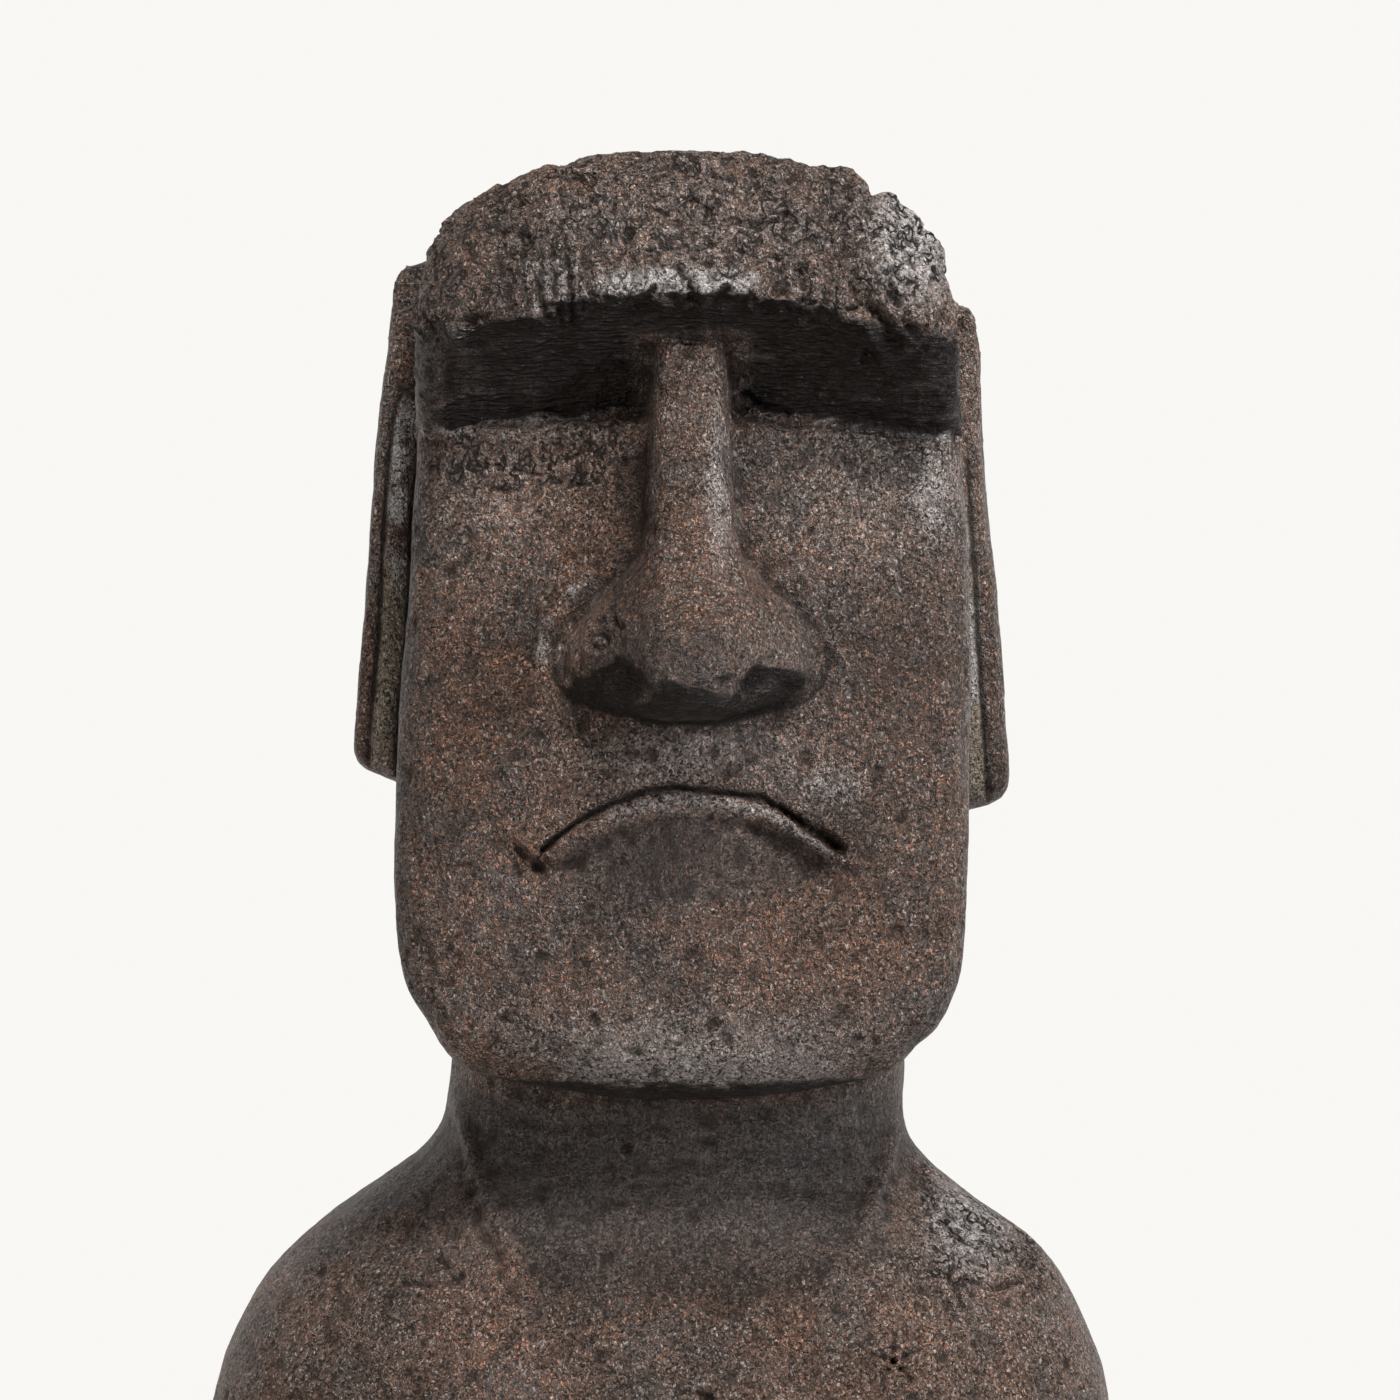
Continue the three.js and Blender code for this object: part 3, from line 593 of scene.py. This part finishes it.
class Wire:
    """A value on a node's output, which adds Math nodes as it takes part in sums."""

    def __init__(self, tree, socket):
        self.tree = tree
        self.socket = socket

    def sum(self, operation, *values):
        node = self.tree.nodes.new("ShaderNodeMath")
        node.operation = operation
        for socket, value in zip(node.inputs, values):
            plug(self.tree, socket, value)
        return Wire(self.tree, node.outputs[0])

    def __add__(self, other):
        return self.sum("ADD", self, other)

    def __sub__(self, other):
        return self.sum("SUBTRACT", self, other)

    def __rsub__(self, other):
        return self.sum("SUBTRACT", other, self)

    def __mul__(self, other):
        return self.sum("MULTIPLY", self, other)

    __radd__ = __add__
    __rmul__ = __mul__

    def output(self, name):
        return Wire(self.tree, self.socket.node.outputs[name])

    @staticmethod
    def node(tree, kind, settings=(), inputs=(), output=0):
        """Adds a node: its settings go first, then the values or wires of its sockets."""
        node = tree.nodes.new(kind)
        for name, value in dict(settings).items():
            setattr(node, name, value)
        for name, value in dict(inputs).items():
            plug(tree, node.inputs[name], value)
        return Wire(tree, node.outputs[output])


def plug(tree, socket, value):
    if isinstance(value, Wire):
        tree.links.new(value.socket, socket)
    else:
        socket.default_value = value


coat = bpy.data.materials.new("sandy coat")
coat.use_nodes = True
tree = coat.node_tree
shader = tree.nodes["Principled BSDF"]


def noise(vector, scale, detail=2.0, roughness=0.5):
    inputs = {"Vector": vector, "Scale": scale, "Detail": detail, "Roughness": roughness}
    return Wire.node(tree, "ShaderNodeTexNoise", {}, inputs)


def between(value, low, high, start=0.0, end=1.0):
    inputs = {"Value": value, "From Min": low, "From Max": high, "To Min": start, "To Max": end}
    return Wire.node(tree, "ShaderNodeMapRange", {}, inputs)


def blend(share, first, second):
    inputs = {0: share, 6: first, 7: second}
    return Wire.node(tree, "ShaderNodeMix", {"data_type": "RGBA"}, inputs, 2)


def stretched(vector, amounts):
    inputs = {0: vector, 1: amounts}
    return Wire.node(tree, "ShaderNodeVectorMath", {"operation": "MULTIPLY"}, inputs)


def greatest(first, second):
    return Wire.node(tree, "ShaderNodeMath", {"operation": "MAXIMUM"}, {0: first, 1: second})


def distance(value):
    return Wire.node(tree, "ShaderNodeMath", {"operation": "ABSOLUTE"}, {0: value})


def recorded(name):
    return Wire.node(tree, "ShaderNodeAttribute", {"attribute_name": name}, {}, 2)


where = Wire.node(tree, "ShaderNodeTexCoord", output="Object")
mm = stretched(where, (1000, 1000, 1000))
tall = stretched(where, (1000, 1000, 700))
shift = Wire.node(tree, "ShaderNodeTexNoise", {}, {"Vector": mm, "Scale": 0.5, "Detail": 1.0}, 1)
bend = {0: shift, 1: (2.2, 2.2, 2.2), 2: tall}
bent = Wire.node(tree, "ShaderNodeVectorMath", {"operation": "MULTIPLY_ADD"}, bend)

# Sand a millimetre or two across, some of it copper-coloured. Heights are in millimetres.
grit = Wire.node(tree, "ShaderNodeTexVoronoi", {}, {"Vector": bent, "Scale": 1.35})
lot = Wire.node(tree, "ShaderNodeSeparateColor", {}, {0: grit.output("Color")})
other_lot = lot.output("Green")
dust = noise(bent, 1.05, 2, 0.6)
lumps = noise(bent, 0.32, 2, 0.55)
folds = noise(tall, 0.13, 2, 0.6)
patch = noise(mm, 0.022, 2, 0.6)
cloud = noise(mm, 0.06, 3, 0.65)

black_wash_and_shade = recorded("black_wash_and_shade")
wiped_and_shaded = recorded("wiped_and_shaded")
gloss_and_painted_sheen = recorded("gloss_and_painted_sheen")
proud = recorded("proud")
torn = recorded("torn")
drybrush_light_and_shade = recorded("drybrush_light_and_shade")
warm = recorded("warm")
tan = recorded("tan")

# The black share: the black wash, and the painted shade in black under the nose and chin, in the
# nostrils, the mouth cut, the nose outline, holes and ear grooves.
painted = between(black_wash_and_shade + (dust - 0.5) * 0.4, 0.3, 0.62)
drag = noise(stretched(where, (130, 500, 850)), 1.0, 1, 0.5)
sand = 1 - between(grit, 0.1, 0.8)
flake = between(folds, 0.5, 0.53)
split = (1 - between(distance(folds - 0.46), 0.015, 0.045)) * between(cloud, 0.44, 0.54)
grain = (lumps - 0.5) * 2.6 + (dust - 0.5) * 1.5 + (sand - 0.5) * 0.4
fine = (lumps - 0.5) * 0.55 + (dust - 0.5) * 1.5 + (sand - 0.5) * 0.45
vein = 1 - between(distance(dust - 0.47), 0.012, 0.05)
pits = noise(stretched(bent, (0.8, 1.0, 1.7)), 0.68, 3, 0.7)
pit = between(pits + (patch - 0.5) * 0.2, 0.455, 0.42)
relief = (grain * 1.3 - vein * 0.15 - pit * 0.9) * (1 - wiped_and_shaded * 0.6)
relief = relief + (flake * 1.1 - split * 1.2) * (torn * 0.9 + 0.1)
relief = relief + (drag - 0.5) * painted * wiped_and_shaded * 6.0

dark = (0.008, 0.006, 0.005, 1)
brown = (0.084, 0.048, 0.032, 1)
grey = (0.088, 0.063, 0.051, 1)
copper = (0.42, 0.17, 0.09, 1)
# Near-black for the black wash and for painted shade.
wash_and_shade_colour = (0.013, 0.0085, 0.0065, 1)
slate = (0.036, 0.028, 0.0235, 1)

lit = between(fine + drybrush_light_and_shade * 0.08, -0.55, -0.2) * (1 - vein * 0.45) * (1 - pit * 0.72)
lit = lit * (1 - split * torn * 0.9)
stone = blend(between(cloud - warm * 0.08, 0.42, 0.62), brown, grey)
stone = blend(warm * 0.6, stone, (0.125, 0.064, 0.038, 1))
coppered = between(lot + warm * 0.1, 0.74, 0.78) * between(patch, 0.34, 0.56)
coppered = coppered * between(fine, -0.1, 0.15)
stone = blend(coppered * 0.85, stone, copper)
# Lighter sand tops, as dry-brushing leaves them, raised further by the painted light and the
# painted sheen.
tops = between(fine + drybrush_light_and_shade * 0.2 + gloss_and_painted_sheen * 0.15, 0.14, 0.5)
stone = blend(tops * 0.35, stone, (0.34, 0.28, 0.245, 1))
# Painted glints: a few grains painted pale, more of them where the dry-brush mask is higher.
pale = between(other_lot + drybrush_light_and_shade * 0.06, 0.88, 0.93) * 0.4
stone = blend(pale, stone, (0.5, 0.46, 0.43, 1))
stone = blend(between(tan, 0.1, 0.9) * 0.75, stone, (0.21, 0.165, 0.115, 1))
# Painted sheen: glossy places are painted pale as well as made smoother.
polish_and_painted_sheen = between(gloss_and_painted_sheen + (dust - 0.5) * 0.7, 0.3, 0.9)
stone = blend(polish_and_painted_sheen * 0.6 + between(gloss_and_painted_sheen, 0.95, 1.4) * 0.35, stone, (0.46, 0.425, 0.405, 1))
stone = blend(between(tan + (dust - 0.5) * 1.5, 1.15, 1.5) * 0.85, stone, (0.46, 0.47, 0.38, 1))
# Painted shade: the stone darkens where the dry-brush mask goes below zero.
stone = blend(between(drybrush_light_and_shade, 0, -1.2) * 0.45, stone, dark)
colour = blend(lit, dark, stone)
# Slate on the wiped places; on the neck under the chin it is painted shade.
colour = blend(wiped_and_shaded * 0.6, colour, slate)
smudge = between(cloud, 0.6, 0.72) * 0.3
colour = blend(smudge, colour, wash_and_shade_colour)
# The black wash and the painted shade go on in near-black.
colour = blend(painted * 0.94, colour, wash_and_shade_colour)

# Splits, sunk places, gaps in the sand and the black places get a dull near-black skin: partly
# wash lying in them, partly painted shade that darkens them and dims their reflections.
sunk = between(proud, 0.05, -0.3) * 0.75
gap = (1 - lit) * 0.92
hidden = painted * (1 - between(drag, 0.54, 0.64)) * 0.75
dull_wash_and_shade = greatest(greatest(greatest(sunk, gap), split * torn * 0.9), hidden)

rough = between(cloud, 0.3, 0.7, 0.36, 0.48) - polish_and_painted_sheen * 0.08
bump = {"Height": relief, "Strength": 1.0, "Distance": MM}
bump = Wire.node(tree, "ShaderNodeBump", {}, bump)
shader.inputs["Specular IOR Level"].default_value = 0.4
plug(tree, shader.inputs["Base Color"], colour)
plug(tree, shader.inputs["Roughness"], rough)
plug(tree, shader.inputs["Normal"], bump)
plug(tree, shader.inputs["Metallic"], between(gloss_and_painted_sheen, 0.95, 1.4) * polish_and_painted_sheen * 0.3)
dull = {"Base Color": wash_and_shade_colour, "Roughness": 0.6, "Specular IOR Level": 0.12, "Normal": bump}
dull = Wire.node(tree, "ShaderNodeBsdfPrincipled", {}, dull)
shell = Wire(tree, shader.outputs[0])
skin = Wire.node(tree, "ShaderNodeMixShader", {}, {0: dull_wash_and_shade, 1: shell, 2: dull})
plug(tree, tree.nodes["Material Output"].inputs["Surface"], skin)
bust.data.materials.clear()
bust.data.materials.append(coat)

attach(bust, "root")
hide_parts("moai_bust")

# ---- Studio ----------------------------------------------------------------------------------
# A round pale paper bowl: a flat floor that curves up into a wall all the way round. It glows
# behind the bust, as a lit backdrop does. Soft boxes stand in front, above and at the right.

bowl = bmesh.new()
profile = [(0.0, 0.0), (1.2, 0.0), (2.6, 0.0)]
for turn in np.linspace(math.pi / 16, math.pi / 2, 8):
    profile.append((2.6 + 0.9 * math.sin(turn), 0.9 - 0.9 * math.cos(turn)))
profile += [(3.5, 2.0), (3.5, 3.0)]
line = [bowl.verts.new((0, along, up)) for along, up in profile]
edges = [bowl.edges.new(pair) for pair in zip(line, line[1:])]
bmesh.ops.spin(
    bowl, geom=line + edges, cent=(0, 0, 0), axis=(0, 0, 1), angle=math.radians(360), steps=96,
    use_merge=True,
)
bmesh.ops.remove_doubles(bowl, verts=bowl.verts, dist=0.0001)
bmesh.ops.recalc_face_normals(bowl, faces=bowl.faces)
bmesh.ops.reverse_faces(bowl, faces=bowl.faces)
bowl_data = bpy.data.meshes.new("bowl")
bowl.to_mesh(bowl_data)
bowl.free()
bowl_data.shade_smooth()
backdrop = bpy.data.objects.new("backdrop", bowl_data)
scene.collection.objects.link(backdrop)
paper = bpy.data.materials.new("pale paper")
paper.use_nodes = True
paper_tree = paper.node_tree
paper_shader = paper_tree.nodes["Principled BSDF"]
paper_shader.inputs["Roughness"].default_value = 0.9
paper_shader.inputs["Specular IOR Level"].default_value = 0.0
spot = Wire.node(paper_tree, "ShaderNodeTexCoord", output="Object")
back = Wire.node(paper_tree, "ShaderNodeSeparateXYZ", {}, {0: spot}, 1)
smooth = {"interpolation_type": "SMOOTHSTEP"}
colours = {"data_type": "RGBA"}
none = (0, 0, 0, 1)
behind = {"Value": back, "From Min": 0.22, "From Max": 0.5}
glow = Wire.node(paper_tree, "ShaderNodeMapRange", smooth, behind)
before = {"Value": back, "From Min": -0.25, "From Max": -0.8}
front = Wire.node(paper_tree, "ShaderNodeMapRange", smooth, before)
floor = {0: front, 6: (0.5, 0.495, 0.485, 1), 7: (0.12, 0.12, 0.12, 1)}
floor = Wire.node(paper_tree, "ShaderNodeMix", colours, floor, 2)
pale = Wire.node(paper_tree, "ShaderNodeMix", colours, {0: glow, 6: floor, 7: none}, 2)
shine = {0: glow, 6: none, 7: (0.945, 0.935, 0.91, 1)}
shine = Wire.node(paper_tree, "ShaderNodeMix", colours, shine, 2)
plug(paper_tree, paper_shader.inputs["Base Color"], pale)
plug(paper_tree, paper_shader.inputs["Emission Color"], shine)
paper_shader.inputs["Emission Strength"].default_value = 1.0
bowl_data.materials.append(paper)


def soft_box(name, place, aim, size, power, tint=(1, 1, 1)):
    light = bpy.data.lights.new(name, "AREA")
    light.shape = "RECTANGLE"
    light.size, light.size_y = size
    light.energy = power
    light.color = tint
    lamp = bpy.data.objects.new(name, light)
    lamp.location = place
    lamp.rotation_euler = (Vector(aim) - Vector(place)).to_track_quat("-Z", "Y").to_euler()
    scene.collection.objects.link(lamp)


soft_box("key", (0.45, -1.0, 2.3), (0, 0, 0.4), (0.5, 0.35), 80, (1, 0.985, 0.96))
soft_box("front", (-1.3, -2.1, 0.15), (0, 0, 0.4), (0.5, 0.4), 32)
soft_box("right", (1.8, -0.9, 1.0), (0, 0, 0.4), (0.3, 1.2), 50, (0.86, 0.93, 1))
soft_box("left", (-1.6, -1.7, 0.9), (0, 0, 0.4), (0.3, 1.0), 5, (0.95, 0.97, 1))
soft_box("top", (0, 0.1, 2.6), (0, 0, 0.4), (0.8, 0.8), 8)

world = bpy.data.worlds.new("studio")
world.use_nodes = True
world.node_tree.nodes["Background"].inputs["Color"].default_value = (1, 1, 1, 1)
world.node_tree.nodes["Background"].inputs["Strength"].default_value = 0.05
scene.world = world
scene.view_settings.view_transform = "Standard"

lens = bpy.data.cameras.new("camera")
lens.sensor_width = 36
lens.lens = 95.45
lens.clip_end = 20
camera = bpy.data.objects.new("camera", lens)
camera.location = (0.01695, -1.5767, 0.396)
camera.rotation_euler = (math.radians(90), 0, 0)
scene.collection.objects.link(camera)
scene.camera = camera
